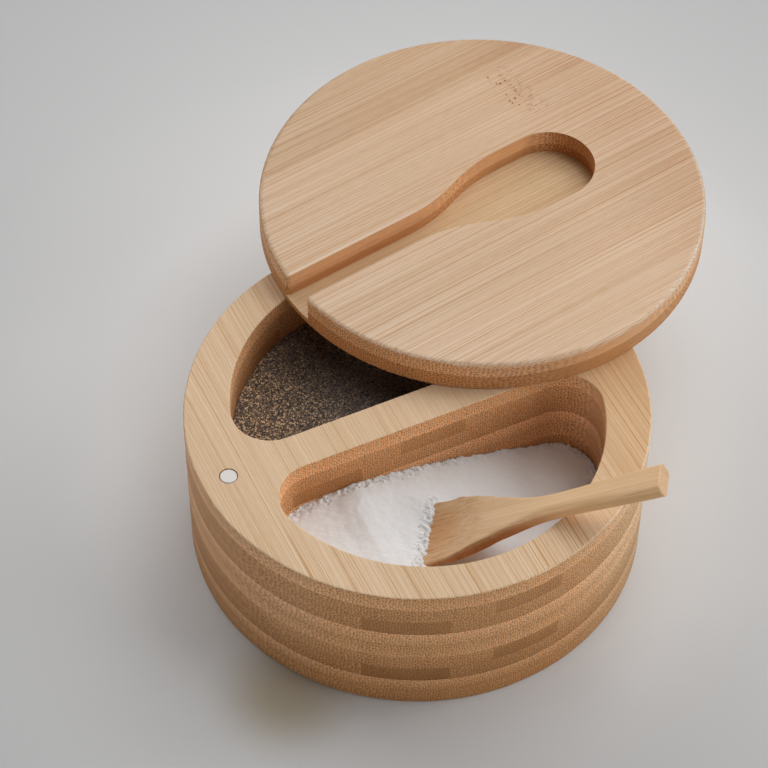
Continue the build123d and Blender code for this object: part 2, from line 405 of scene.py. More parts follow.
def bamboo_material(
    name, bottom, top, strips, seed, tone=1.0, slope=0.0, streaks=1.0, lines=1.0, turn=None,
    marks=None, own=None,
):
    """Bamboo of one ply, which lies between bottom and top. strips lists where each strip begins, in
    mm across the ply, and its tone. tone and slope shade its upright faces, the second one from bottom
    to top. turn is the move and the angles that bring the piece to where its fibres run along Y. marks
    adds what only this ply shows. own is its own four colours, in the order of the settings."""
    settings = bpy.context.scene.salt_box.bamboo
    made, w, shader = new_material(name)
    where = w.node("ShaderNodeTexCoord")
    place, facing = where.outputs["Object"], where.outputs["Normal"]
    if turn is not None:
        move, angles = turn
        given = {"Vector": place, "Location": move, "Rotation": angles}
        place = w.node("ShaderNodeMapping", given, vector_type="POINT").outputs[0]
        given = {"Vector": facing, "Rotation": angles}
        facing = w.node("ShaderNodeMapping", given, vector_type="VECTOR").outputs[0]
    in_mm = w.vector("MULTIPLY", place, (MM, MM, MM))
    x, y, z = w.split(in_mm)
    across = w.scaled(x, 0.5 / STRIP_REACH, 0.5)
    stops = [(0.5 + 0.5 * start / STRIP_REACH, grey * HELD_SHARE) for start, grey in strips]
    if own is None:
        own = (settings.pale, settings.brown, settings.end_pale, settings.end_brown)
    given = {
        "Place": in_mm,
        "Facing": facing,
        "Tone": w.math("DIVIDE", w.ramp(across, stops), HELD_SHARE),
        "Ply Tone": tone,
        "Slope": slope,
        "Height In Ply": w.math("DIVIDE", w.math("SUBTRACT", z, bottom * MM), (top - bottom) * MM),
        **dict(zip(("Pale", "Brown", "End Pale", "End Brown"), own)),
        "Bundle": settings.bundle,
        "Seed": seed,
        "Streaks": streaks,
        "Lines": lines,
    }
    grain = w.node("ShaderNodeGroup", given, node_tree=bamboo_group()).outputs
    tint = grain["Color"]
    if marks is not None:
        tint = marks(w, tint, x, y, z)
    w.paint(shader, tint, grain["Roughness"])
    w.raise_surface(shader, grain["Height"], 0.2, 0.0001)
    shader.inputs["Specular IOR Level"].default_value = 0.14
    return made


def wear(name, material):
    """Gives a CAD node or a piece its one material."""
    obj = frame["nodes"].get(name) or bpy.data.objects[name]
    if obj.data.materials:
        obj.data.materials[0] = material
        for slot in obj.material_slots:
            slot.material = material
    else:
        obj.data.materials.append(material)


def add_object(name, data):
    """A new object in the scene, at the origin."""
    obj = bpy.data.objects.new(name, data)
    bpy.context.scene.collection.objects.link(obj)
    return obj


def heal(mesh, reach):
    """Merges a mesh's points that lie within reach of each other, and turns its faces outwards."""
    work = bmesh.new()
    work.from_mesh(mesh)
    bmesh.ops.remove_doubles(work, verts=work.verts, dist=reach)
    bmesh.ops.recalc_face_normals(work, faces=work.faces)
    work.to_mesh(mesh)
    work.free()


# Block and lid

# Each ply of the block, lowest first: its tone, how much lighter its top is than its bottom, and
# where its strips begin, with their tones
BLOCK_PLIES = [
    (0.65, 0.25, [(-75, 1.0), (-66, 0.98), (-44, 0.95), (-22, 1.04), (1, 1.0), (24, 1.03), (47, 1.0)]),
    (0.86, 0.48, [(-75, 0.98), (-53, 1.0), (-31, 1.02), (-8, 1.0), (14, 1.03), (37, 0.99), (60, 1.01)]),
    (0.64, 0.22, [(-75, 1.03), (-66, 1.0), (-44, 0.76), (-21.6, 1.0), (1, 1.06), (24, 1.03), (47, 1.0)]),
    (0.82, 0.27, [(-75, 0.93), (-64, 1.0), (-31.8, 1.0), (-8.5, 0.76), (13.4, 1.08), (36, 1.03), (60, 1.0)]),
    (1.08, -0.14, [(-75, 1.01), (-66, 1.0), (-44, 0.97), (-21, 1.02), (1, 1.0), (24, 1.02), (47, 0.99)]),
    (1.24, 0.28, [(-75, 0.99), (-53, 1.0), (-31, 1.02), (-8, 1.0), (14, 1.02), (37, 0.98), (60, 1.0)]),
    (0.87, 0.14, [(-75, 1.02), (-66, 1.0), (-44, 0.76), (-21.6, 1.0), (1, 1.04), (24, 1.0), (47, 0.98)]),
    (0.94, 0.12, [(-75, 0.95), (-64, 0.98), (-31.8, 1.02), (-8.5, 0.82), (13.4, 1.05), (36, 1.03), (60, 1)]),
    (1.24, -0.18, [(-75, 1.0), (-58, 1.03), (-35, 0.98), (-12, 1.01), (11, 0.97), (34, 0.96), (57, 0.94)]),
]
LID_UPPER_STRIPS = [(-75, 0.83), (-43.5, 0.94), (-17.3, 0.965), (9.0, 0.93), (36.3, 1.0)]
LID_LOWER_STRIPS = [(-75, 0.97), (-30, 1.0), (-4, 0.96), (22, 0.99), (48, 0.97)]

# Places in mm, on the block and on the shut lid. A pair says where a mark is absent and where it is
# full: the block's top face by height, its outer wall by radius, where its painted sheen and its
# painted warm shade lie, the lid's painted rim highlight by radius, by height and towards the back
TOP_FACE = (BLOCK_TOP * MM - 0.35, BLOCK_TOP * MM - 0.05)
OUTER_WALL = (66.5, 69.0)
SHEEN_X, SHEEN_Y = (8.0, 54.0), (45.0, 5.0)
WARM_SHADE_X = (25.0, 62.0)
RIM_RADIUS, RIM_HEIGHT, RIM_Y = (68.6, 69.4), (61.5, 63.5), (5.0, 40.0)
# The scar of a cane joint on the lid: the two edges of its strip, of its row of dots and of its ticks
SCAR_STRIP = ((-44.5, -41.0), (-18.0, -20.5))
SCAR_ROW = ((30.0, 31.4), (36.6, 34.8))
SCAR_TICKS = ((33.5, 36.0), (42.5, 37.5))
# The radius of the dark line round the block's magnet, and the middle and radius of the recess's bulb
MAGNET_LINE = 2.66
BULB_X, BULB_Y = 1.9, 25.0
BULB_RADIUS = 14.3

# What red, green and blue are multiplied by
# painted sheen on the outer wall: paler and less orange, as under brighter light
WALL_SHEEN_TINT = (0.98, 1.19, 1.46)
# painted warm shade on the block's top towards the pin
WARM_SHADE_TINT = (0.99, 0.89, 0.76)
# painted shadow at the end of the recess's bulb
BULB_SHADOW_TINT = (0.6, 0.46, 0.32)
# painted shade on the lid's far side and painted light on its near side
LID_FAR_SHADE = (0.9, 0.85, 0.82)
LID_NEAR_LIGHT = (1.02, 1.05, 1.09)
# painted highlight on the lid's rim
LID_RIM_HIGHLIGHT = (0.98, 1.2, 1.5)


def closed_place():
    """The move and the angles that bring the opened lid back to its shut place."""
    turn = Matrix.Rotation(LID_TURN, 3, "Z")
    return PIVOT - turn @ PIVOT, Euler((0, 0, LID_TURN))


def painted_wall_sheen(w, tint, x, y, z):
    """Painted sheen: paler and less orange on the front of the outer wall towards the pin, as if lit more
    brightly there.
    """
    wall = w.step(w.length(w.join(x, y, 0.0)), *OUTER_WALL)
    below = w.step(z, *reversed(TOP_FACE))
    share = w.times(w.step(x, *SHEEN_X), wall, below, w.step(y, *SHEEN_Y))
    return w.tint(share, tint, WALL_SHEEN_TINT)


def top_marks(w, tint, x, y, z):
    """On the block's top ply: a painted warm shade towards the pin, the outer wall's painted sheen, and a
    thin dark line round the magnet.
    """
    warm_shade = w.times(w.step(x, *WARM_SHADE_X), w.step(z, *TOP_FACE))
    tint = w.blend(warm_shade, painted_wall_sheen(w, tint, x, y, z), w.blend(1.0, tint, WARM_SHADE_TINT, "MULTIPLY"))
    away = w.join(w.math("SUBTRACT", x, MAGNET.x * MM), w.math("SUBTRACT", y, MAGNET.y * MM), 0.0)
    off_line = w.math("ABSOLUTE", w.math("SUBTRACT", w.length(away), MAGNET_LINE))
    return w.blend(w.times(w.step(off_line, 0.22, 0.06), 0.7), tint, linear(96, 62, 38))


def painted_bulb_shadow(w, tint, x, y, z):
    """Paints a shadow over the end of the recess's bulb, where its wall shades the floor and itself."""
    x, y = w.math("SUBTRACT", x, BULB_X), w.math("SUBTRACT", y, BULB_Y)
    away = w.length(w.join(x, y, 0.0))
    inside = w.step(away, BULB_RADIUS + 0.05, BULB_RADIUS - 0.05)
    # on the bulb's wall, away + y is its radius at the sides and twice its radius at its end
    share = w.times(inside, w.step(w.math("ADD", away, y), 19.0, 28.5))
    return w.tint(share, tint, BULB_SHADOW_TINT)


def cane_joint(w, tint, x, y, z):
    """On the lid's upper ply: the painted shadow in the recess's bulb, painted shade on the far side,
    painted light on the near side, a painted highlight on the rim, and across one strip the scar of a cane
    joint, which is a row of small dark dots with ticks above them."""
    tint = painted_bulb_shadow(w, tint, x, y, z)
    strip = w.band(x, *SCAR_STRIP)
    row = w.times(w.band(y, *SCAR_ROW), strip)
    spots = w.cells(w.join(w.math("DIVIDE", x, 2.0), w.math("DIVIDE", y, 1.9), 0.4))
    pick = w.split(spots["Color"])[0]
    size = w.scaled(pick, 0.18, 0.12)
    spot = w.math("SUBTRACT", 1.0, w.step(spots["Distance"], w.times(size, 0.5), size))
    spot = w.times(spot, row, w.step(pick, 0.12, 0.2))
    ticks = w.noise(w.join(w.math("DIVIDE", x, 0.55), w.math("DIVIDE", y, 2.6), 3.0), 1.0)
    ticks = w.times(w.step(ticks, 0.5, 0.66), w.band(y, *SCAR_TICKS), strip)
    # painted shade on the far side and painted light on the near side
    tint = w.tint(w.step(y, 20.0, 60.0), tint, LID_FAR_SHADE)
    tint = w.tint(w.step(y, 0.0, -55.0), tint, LID_NEAR_LIGHT)
    # painted highlight on the rim towards the back
    edge = w.step(w.length(w.join(x, y, 0.0)), *RIM_RADIUS)
    rim = w.times(edge, w.step(y, *RIM_Y), w.step(z, *RIM_HEIGHT))
    tint = w.tint(rim, tint, LID_RIM_HIGHLIGHT)
    tint = w.blend(w.times(row, 0.12), tint, linear(200, 150, 106))
    tint = w.blend(w.times(ticks, 0.5), tint, linear(150, 104, 66))
    return w.blend(w.times(spot, 0.9), tint, linear(110, 72, 44))


def finish_block():
    """Bamboo on the nine plies of the block. The top one is a little yellower."""
    settings = bpy.context.scene.salt_box.bamboo
    yellower = (linear(224, 198, 167), linear(186, 139, 88), settings.end_pale, settings.end_brown)
    for index, (tone, slope, strips) in enumerate(BLOCK_PLIES):
        bottom = index * PLY_THICKNESS
        # the other plies get the outer wall's painted sheen
        marks, own = (top_marks, yellower) if index == PLY_COUNT - 1 else (painted_wall_sheen, None)
        made = bamboo_material(
            f"Block Ply {index + 1} Bamboo",
            bottom,
            bottom + PLY_THICKNESS,
            strips,
            seed=index + 1.0,
            tone=tone,
            slope=slope,
            streaks=0.75,
            lines=0.85,
            marks=marks,
            own=own,
        )
        wear(f"block_ply_{index + 1}", made)


def finish_lid():
    """Bamboo on the two plies of the lid."""
    turn = closed_place()
    lower = bamboo_material(
        "Lid Lower Bamboo",
        LID_BOTTOM,
        LID_JOINT,
        LID_LOWER_STRIPS,
        seed=21.0,
        tone=0.87,
        slope=0.1,
        lines=0.5,
        turn=turn,
        # the lower ply also gets the painted shadow in the recess's bulb
        marks=painted_bulb_shadow,
        own=(linear(226, 198, 160), linear(186, 138, 88), linear(220, 155, 97), linear(132, 76, 38)),
    )
    upper = bamboo_material(
        "Lid Upper Bamboo",
        LID_JOINT,
        LID_TOP,
        LID_UPPER_STRIPS,
        seed=33.0,
        tone=1.17,
        slope=-0.1,
        lines=0.6,
        turn=turn,
        marks=cane_joint,
        own=(linear(220, 193, 166), linear(182, 132, 84), linear(224, 166, 109), linear(140, 85, 45)),
    )
    wear("lid_lower_ply", lower)
    wear("lid_upper_ply", upper)


def metal(name, scale, detail, greys, roughness, metallic):
    """Metal with a faint mottle between two greys. scale is the mottle's steps per metre on each axis."""
    made, w, shader = new_material(name)
    mottle = w.noise(w.vector("MULTIPLY", w.place(), scale), detail)
    w.paint(shader, w.blend(mottle, *greys), w.scaled(mottle, 0.2, roughness))
    shader.inputs["Metallic"].default_value = metallic
    return made


def finish_metal():
    """Steel of the pin and bright plating of the two magnets."""
    greys = (linear(160, 160, 162), linear(190, 190, 192))
    steel = metal("Pin Steel", (200, 200, 9000), 2.0, greys, 0.25, 1.0)
    greys = (linear(208, 203, 197), linear(220, 215, 209))
    plate = metal("Magnet Plating", (900, 900, 900), 3.0, greys, 0.4, 0.2)
    wear("pivot_pin", steel)
    wear("block_magnet", plate)
    wear("lid_magnet", plate)


# Spoon

# How the spoon stands, and then its sizes in mm from its tip: its length, where its handle starts, the
# radius that the handle's edges grow to and over what length, and where the hollow's edge lies, over
# what length it is eased on both sides, and how far across and by how many passes
SPOON_TILT = math.radians(32.0)
SPOON_HEADING = math.radians(-34.1)
SPOON_TIP = Vector((-0.0224, -0.0244, 0.02825))
SPOON_LENGTH = 93.0
HANDLE_START = 36
HANDLE_EDGE = 2.4
EDGE_GROWTH = 14.0
HOLLOW_EDGE = 33
HOLLOW_FADE = 4.5
HOLLOW_SIDE = 7.5
HOLLOW_PASSES = 190


def spoon_axes():
    """The spoon's own axes as columns: along the handle, across, and out of its top."""
    level = math.cos(SPOON_TILT)
    along = Vector((level * math.cos(SPOON_HEADING), level * math.sin(SPOON_HEADING), math.sin(SPOON_TILT)))
    across = Vector((-math.sin(SPOON_HEADING), math.cos(SPOON_HEADING), 0))
    up = along.cross(across)
    return Matrix((along, across, up)).transposed()


def carving_marks(w, tint, x, y, z):
    """On the spoon: dark dashes in its bowl, a painted shade below the neck, where it lies in the pocket, and
    a paler handle side.
    """
    fleck = w.noise(w.join(w.math("DIVIDE", x, 0.38), w.math("DIVIDE", y, 3.6), 1.5), 2.0)
    dashes = w.times(w.step(fleck, 0.55, 0.7), w.step(y, 45.0, 10.0), 0.55)
    tint = w.blend(dashes, tint, linear(150, 100, 58))
    # painted shade: darker and redder below the neck, as the pocket shades it and its brown walls light it
    shaded_under = w.times(w.step(z, -0.8, -2.2), w.step(y, 66.0, 34.0))
    tint = w.tint(shaded_under, tint, (0.86, 0.64, 0.44))
    short_of_end = (SPOON_LENGTH - 0.1, SPOON_LENGTH - 0.5)
    side = w.times(w.step(z, 1.0, -1.4), w.band(y, (36.0, 66.0), short_of_end))
    return w.tint(side, tint, (1.42, 1.3, 1.12))


def spoon_material():
    """Bamboo whose fibres run along the handle, with the short dashes that carving opens."""
    to_grain = Matrix.Rotation(math.radians(90), 3, "Z") @ spoon_axes().transposed()
    return bamboo_material(
        "Spoon Bamboo",
        -0.016,
        0.002,
        [(-75, 1.08), (-2.6, 1.12), (5.0, 1.08)],
        seed=51.0,
        tone=0.95,
        streaks=0.6,
        lines=0.15,
        turn=(-(to_grain @ SPOON_TIP), to_grain.to_euler()),
        marks=carving_marks,
        own=(linear(219, 188, 150), linear(184, 138, 90), linear(201, 167, 130), linear(170, 134, 98)),
    )


def copy_of_node(name, node):
    """A merged, editable copy of a CAD node's mesh as a new object."""
    mesh = frame["nodes"][node].data.copy()
    mesh.name = name
    mesh.materials.clear()
    heal(mesh, 2e-6)
    return add_object(name, mesh)


def bake_modifiers(obj):
    """Applies an object's modifiers to its mesh."""
    bpy.context.view_layer.update()
    graph = bpy.context.evaluated_depsgraph_get()
    mesh = bpy.data.meshes.new_from_object(obj.evaluated_get(graph))
    obj.modifiers.clear()
    old = obj.data
    obj.data = mesh
    mesh.name = obj.name
    bpy.data.meshes.remove(old)
    return obj


def shade_smooth(obj):
    """Shades all of an object's faces smooth."""
    obj.data.polygons.foreach_set("use_smooth", [True] * len(obj.data.polygons))
    obj.data.update()


def round_handle(obj):
    """Rounds the four long edges of the spoon's handle, and leaves its end flat."""
    axes = np.array(spoon_axes())
    tip = np.array(SPOON_TIP)
    places = np.array([v.co[:] for v in obj.data.vertices])
    own = (places - tip) @ axes * MM
    # the handle's section is measured anew in each millimetre of its length
    cells = np.floor(own[:, 0]).astype(int)
    low, high = {}, {}
    for cell in range(HANDLE_START, cells.max() + 1):
        near = own[abs(own[:, 0] - cell - 0.5) < 1.2][:, 1:]
        if len(near):
            low[cell], high[cell] = near.min(axis=0), near.max(axis=0)
    for index, cell in enumerate(cells):
        if cell not in low:
            continue
        middle, half = (low[cell] + high[cell]) / 2, (high[cell] - low[cell]) / 2
        grown = min(1.0, (own[index, 0] - HANDLE_START) / EDGE_GROWTH)
        radius = min(HANDLE_EDGE * grown, 0.8 * half.min())
        offset = own[index, 1:] - middle
        past = np.abs(offset) - (half - radius)
        reach = math.hypot(*past)
        if past.min() > 0 and reach > radius:
            past *= radius / reach
            own[index, 1:] = middle + np.sign(offset) * (half - radius + past)
    places = own / MM @ axes.T + tip
    obj.data.vertices.foreach_set("co", places.ravel())
    obj.data.update()


def ease(obj, share, passes):
    """Smooths an object's mesh where share(along, across, up), in the spoon's own mm, is above 0."""
    to_spoon = spoon_axes().transposed()
    group = obj.vertex_groups.new(name="ease")
    for vertex in obj.data.vertices:
        weight = share(*((to_spoon @ (vertex.co - SPOON_TIP)) * MM))
        if weight > 0.0:
            group.add([vertex.index], min(1.0, weight), "REPLACE")
    smooth = obj.modifiers.new("Ease", "SMOOTH")
    smooth.factor = 0.5
    smooth.iterations = passes
    smooth.vertex_group = group.name
    bake_modifiers(obj)
    obj.vertex_groups.clear()


def near_hollow(along, across, up):
    """How much of the easing a place on the spoon gets: the hollow's edge, and not its sides."""
    return (2 - abs(along - HOLLOW_EDGE) / HOLLOW_FADE) * min(1, (HOLLOW_SIDE - abs(across)) / 3)


def carve_spoon():
    """The spoon with sanded edges, and a hollow that fades out into its handle."""
    settings = bpy.context.scene.salt_box.spoon
    obj = copy_of_node("carved_spoon", "spoon")
    remesh = obj.modifiers.new("Cells", "REMESH")
    remesh.mode = "VOXEL"
    remesh.voxel_size = settings.voxel
    bake_modifiers(obj)
    round_handle(obj)
    ease(obj, lambda along, across, up: 1.0, settings.sanding)
    ease(obj, near_hollow, HOLLOW_PASSES)
    shade_smooth(obj)
    wear(obj.name, spoon_material())
    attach(obj, "spoon")
    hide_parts("spoon")


# Salt and pepper

# Plan of a pocket in mm, drawn in by the same hair's gap as the CAD fills: its outer arc, its straight
# side along the divider, its two corners and its floor
ARC_Y = 4.6
ARC_RADIUS = 54.05
CHORD_Y = 6.15
CORNER_RADIUS = 11.85
CORNER_X = 40.0
CORNER_Y = CHORD_Y + CORNER_RADIUS
FLOOR = 10.05
# Height of the salt by its place along the divider, and the pepper's even height, in mm
SALT_LINE = [
    (-54, 34.0), (-46, 34.7), (-40, 35.0), (-33, 35.4), (-28, 36.3), (-25, 36.7),
    (-22, 36.3), (-15, 35.2), (-8, 34.3), (-2, 32.6), (5, 31.2), (12, 29.4),
    (19, 27.2), (26, 25.1), (33, 22.7), (40, 20.9), (47, 19.6), (54, 18.8),
]
PEPPER_HEIGHT = 36.1
# Loose grains: a pocket's plan in square metres, the least upward share of a face that they lie on, the
# smallest and largest grain as a share of the set size, and the most that they are turned, in radians
BED_AREA = 0.0043
STEEPEST = 0.2
GRAIN_SPREAD = (0.45, 1.25)
GRAIN_TURN = 6.283


def pocket_span(x):
    """The pocket's nearest and farthest distance from the divider's middle line, at x."""
    far = ARC_Y + math.sqrt(max(ARC_RADIUS**2 - x * x, 0.0))
    near = CHORD_Y
    over = abs(x) - CORNER_X
    if over > 0:
        half = math.sqrt(max(CORNER_RADIUS**2 - over * over, 0.0))
        near = CORNER_Y - half
        if abs(x) > ARC_RADIUS * CORNER_X / (ARC_RADIUS - CORNER_RADIUS):
            far = CORNER_Y + half
    return near, far


def bed_mesh(name, side, level, crust, columns, rows):
    """A closed solid that fills a pocket up to level(x, y), in mm. side is 1 for pepper and -1 for salt.
    crust(x, y) is kept on it as the share of loose grains at each place."""
    reach = CORNER_X + CORNER_RADIUS
    top = []
    for i in range(columns + 1):
        # the columns stand a little closer towards the pocket's two ends
        even = 2 * i / columns - 1
        x = reach * math.sin(math.pi / 2 * even) * 0.25 + reach * even * 0.75
        near, far = pocket_span(x)
        for j in range(rows + 1):
            y = side * (near + (far - near) * j / rows)
            top.append((x, y, level(x, y)))
    verts = [(x / MM, y / MM, z / MM) for x, y, z in top]
    count = rows + 1

    def at(i, j):
        return i * count + j

    faces = []
    for i in range(columns):
        for j in range(rows):
            faces.append((at(i, j), at(i + 1, j), at(i + 1, j + 1), at(i, j + 1)))
    rim = [at(i, 0) for i in range(columns + 1)]
    rim += [at(columns, j) for j in range(1, count)]
    rim += [at(i, rows) for i in range(columns - 1, -1, -1)]
    rim += [at(0, j) for j in range(rows - 1, 0, -1)]
    base = len(verts)
    verts += [(verts[k][0], verts[k][1], FLOOR / MM) for k in rim]
    size = len(rim)
    for k in range(size):
        n = (k + 1) % size
        faces.append((rim[n], rim[k], base + k, base + n))
    faces.append(tuple(base + k for k in range(size)))
    mesh = bpy.data.meshes.new(name)
    mesh.from_pydata(verts, [], faces)
    share = mesh.attributes.new("crust", "FLOAT", "POINT")
    share.data.foreach_set("value", [crust(x * MM, y * MM) for x, y, z in verts])
    heal(mesh, 1e-7)
    obj = add_object(name, mesh)
    shade_smooth(obj)
    return obj


def edge_room(x, y):
    """How far a point in a pocket is from the nearest wall, in mm."""
    y = abs(y)
    room = min(y - CHORD_Y, ARC_RADIUS - math.hypot(x, y - ARC_Y))
    over = abs(x) - CORNER_X
    if over > 0 and y < CORNER_Y:
        room = min(room, CORNER_RADIUS - math.hypot(over, CORNER_Y - y))
    return max(room, 0.0)


def from_spoon(x, y):
    """How far a place lies along and across the spoon from its tip, seen from above, in mm."""
    away = Vector((x - SPOON_TIP.x * MM, y - SPOON_TIP.y * MM))
    along = away.x * math.cos(SPOON_HEADING) + away.y * math.sin(SPOON_HEADING)
    across = away.y * math.cos(SPOON_HEADING) - away.x * math.sin(SPOON_HEADING)
    return along, across


def salt_crust(x, y):
    """1 where the salt clings to a wall or lies on the spoon's edge, 0 in the open."""
    along, across = from_spoon(x, y)
    spoon = max(0.0, 1.0 - abs(along - 12.5) / 3.0) if abs(across) < 15 else 0.0
    return max(1.0 - edge_room(x, y) / 4.0, spoon, 0.0)


def salt_drift(x, y):
    """How much higher, in mm, the salt lies against the far corner of the spoon."""
    along, across = from_spoon(x, y)
    return 1.8 * math.exp(-((along - 13.0) ** 2 + (across - 11.0) ** 2) / 40.0)


def roll(x, y, width, layer):
    """Smooth noise from about -1 to 1, with waves so many mm wide. Each layer has its own waves."""
    return noise.noise(Vector((x / width, y / width, layer)))


def salt_level(x, y):
    """Height of the salt: its line along the divider, with soft clumps and a ragged crust."""
    clump = bpy.context.scene.salt_box.salt.clump * MM
    xs, zs = zip(*SALT_LINE)
    level = sum(float(np.interp(x + shift, xs, zs)) for shift in (0, -2, 2)) / 3
    soft = roll(x, y, 9, 1.7) * 0.6
    share = salt_crust(x, y)
    lumps = noise.fractal(Vector((x / 2.6, y / 2.6, 5.1)), 0.9, 2.1, 3) * clump * (0.16 + 0.34 * share)
    grit = roll(x, y, 0.6, 9.4) * (0.03 + 0.1 * share)
    crust = max(roll(x, y, 1.1, 3.3), -0.2) * clump * 1.4 * share
    return level + soft + lumps + grit + crust + salt_drift(x, y)


def pepper_surface(x, y):
    """Height of the pepper: nearly level, with a faint roll."""
    grit = noise.fractal(Vector((x / 0.8, y / 0.8, 2.2)), 0.8, 2.0, 2) * 0.22
    return PEPPER_HEIGHT + roll(x, y, 14, 8.8) * 0.7 + grit


def scatter_tree(name, shape, material):
    """Geometry nodes that strew grains over a bed's upward faces. shape is a grain's three sides."""
    tree = bpy.data.node_groups.new(name, "GeometryNodeTree")
    sockets = {}
    for label, kind in (
        ("Geometry", "NodeSocketGeometry"),
        ("Grains Per Area", "NodeSocketFloat"),
        ("Grain Size", "NodeSocketFloat"),
        ("Seed", "NodeSocketInt"),
    ):
        sockets[label] = tree.interface.new_socket(name=label, in_out="INPUT", socket_type=kind)
    tree.interface.new_socket(name="Geometry", in_out="OUTPUT", socket_type="NodeSocketGeometry")
    w = Wiring(tree)
    given = tree.nodes.new("NodeGroupInput").outputs
    result = tree.nodes.new("NodeGroupOutput").inputs
    lie = w.split(w.node("GeometryNodeInputNormal").outputs[0])[2]
    upward = w.node("FunctionNodeCompare", {0: lie, 1: STEEPEST}, data_type="FLOAT", operation="GREATER_THAN")
    crust = w.node("GeometryNodeInputNamedAttribute", {"Name": "crust"}, data_type="FLOAT")
    spread = {
        "Mesh": given["Geometry"],
        "Selection": upward.outputs[0],
        "Density": w.times(crust.outputs["Attribute"], given["Grains Per Area"]),
        "Seed": given["Seed"],
    }
    points = w.node("GeometryNodeDistributePointsOnFaces", spread, distribute_method="RANDOM")
    range_of = {1: (GRAIN_TURN, GRAIN_TURN, GRAIN_TURN), "Seed": given["Seed"]}
    turn = w.node("FunctionNodeRandomValue", range_of, data_type="FLOAT_VECTOR")
    range_of = {2: GRAIN_SPREAD[0], 3: GRAIN_SPREAD[1], "Seed": w.math("ADD", given["Seed"], 1.0)}
    size = w.node("FunctionNodeRandomValue", range_of, data_type="FLOAT")
    scale = w.times(size.outputs[1], given["Grain Size"])
    laid = {
        "Points": points.outputs["Points"],
        "Instance": w.node("GeometryNodeMeshCube", {"Size": shape}).outputs["Mesh"],
        "Rotation": turn.outputs[0],
        "Scale": w.join(scale, scale, scale),
    }
    grains = w.node("GeometryNodeInstanceOnPoints", laid).outputs["Instances"]
    real = w.node("GeometryNodeRealizeInstances", {"Geometry": grains}).outputs["Geometry"]
    coated = w.node("GeometryNodeSetMaterial", {"Geometry": real, "Material": material})
    w.put(result["Geometry"], coated.outputs["Geometry"])
    return tree, sockets


def strew(name, bed, shape, size, count, seed, material):
    """Loose grains on a bed, as one plain mesh."""
    obj = add_object(name, bed.data.copy())
    tree, sockets = scatter_tree(name + "_tree", shape, material)
    modifier = obj.modifiers.new("Grains", "NODES")
    modifier.node_group = tree
    for label, value in (("Grains Per Area", count / BED_AREA), ("Grain Size", size), ("Seed", seed)):
        modifier[sockets[label].identifier] = value
    bake_modifiers(obj)
    return obj


def salt_material():
    """White salt: bright and soft."""
    made, w, shader = new_material("Salt")
    where = w.place()
    cells = w.cells(w.vector("MULTIPLY", where, (MM, MM, MM)), 1.9)
    mottle = w.noise(w.vector("MULTIPLY", where, (350, 350, 350)), 3.0)
    share = w.scaled(w.split(cells["Color"])[0], 0.4, w.times(mottle, 0.5))
    white = w.blend(share, linear(238, 241, 242), linear(227, 230, 232))
    w.paint(shader, white, w.scaled(cells["Distance"], 0.4, 0.4))
    w.raise_surface(shader, cells["Distance"], 0.15, 0.0002)
    return made


def pepper_material():
    """Ground pepper: dark brown flakes among tan and black ones, and towards the pin a painted shade from the
    lid: nearly black, cooler, with fewer tan flakes.
    """
    made, w, shader = new_material("Ground Pepper")
    where = w.place()
    cells = w.cells(w.vector("MULTIPLY", where, (MM, MM, MM)), 2.3)
    pick = w.split(cells["Color"])[0]
    # painted shade under the lid: fewer tan flakes and a cooler tint towards the pin
    lid_shade = w.step(w.split(where)[0], -0.035, 0.0)
    tan = w.times(w.step(pick, 0.72, 0.9), w.scaled(lid_shade, -0.75, 1.0))
    dark = w.blend(w.step(pick, 0.0, 0.6), linear(60, 61, 64), linear(128, 107, 87))
    flakes = w.blend(tan, dark, linear(224, 192, 150))
    w.paint(shader, w.tint(lid_shade, flakes, (1.2, 1.4, 1.75)), w.scaled(pick, 0.2, 0.6))
    w.raise_surface(shader, cells["Distance"], 0.6, 0.0003)
    return made


def heap_salt():
    """Heap of salt, with loose grains on it."""
    settings = bpy.context.scene.salt_box.salt
    material = salt_material()
    heap = bed_mesh("salt_heap", -1, salt_level, salt_crust, columns=300, rows=150)
    wear(heap.name, material)
    grains = strew("salt_grains", heap, (1, 1, 1), settings.grain, settings.grains, settings.seed, material)
    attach(heap, "block")
    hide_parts("salt_fill")
    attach(grains, "block")


def pour_pepper():
    """Bed of ground pepper, with loose flakes on it."""
    settings = bpy.context.scene.salt_box.pepper
    material = pepper_material()
    bed = bed_mesh("pepper_bed", 1, pepper_surface, lambda x, y: 1.0, columns=200, rows=100)
    wear(bed.name, material)
    sides = (1, 0.6, 0.4)
    flakes = strew("pepper_flakes", bed, sides, settings.flake, settings.flakes, settings.seed, material)
    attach(bed, "block")
    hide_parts("pepper_fill")
    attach(flakes, "block")


# Stage

# Each light: its direction round the box and above it, in degrees, and its share of the power
LIGHTS = [
    ("light_main", 30, 58, 0.16),
    ("light_back", 105, 32, 0.179),
    ("light_back_right", 60, 32, 0.075),
    ("light_right", 330, 32, 0.171),
    ("light_high_right", 330, 58, 0.042),
    ("light_low_right", 350, 14, 0.109),
    ("light_low_front_right", 315, 14, 0.037),
    ("light_low_front", 275, 14, 0.035),
    ("light_low_left", 202, 14, 0.094),
    ("light_above", 0, 88, 0.07),
]
LIGHT_TARGET = Vector((0.02, 0.02, 0.03))
LIGHT_DISTANCE = 1.3

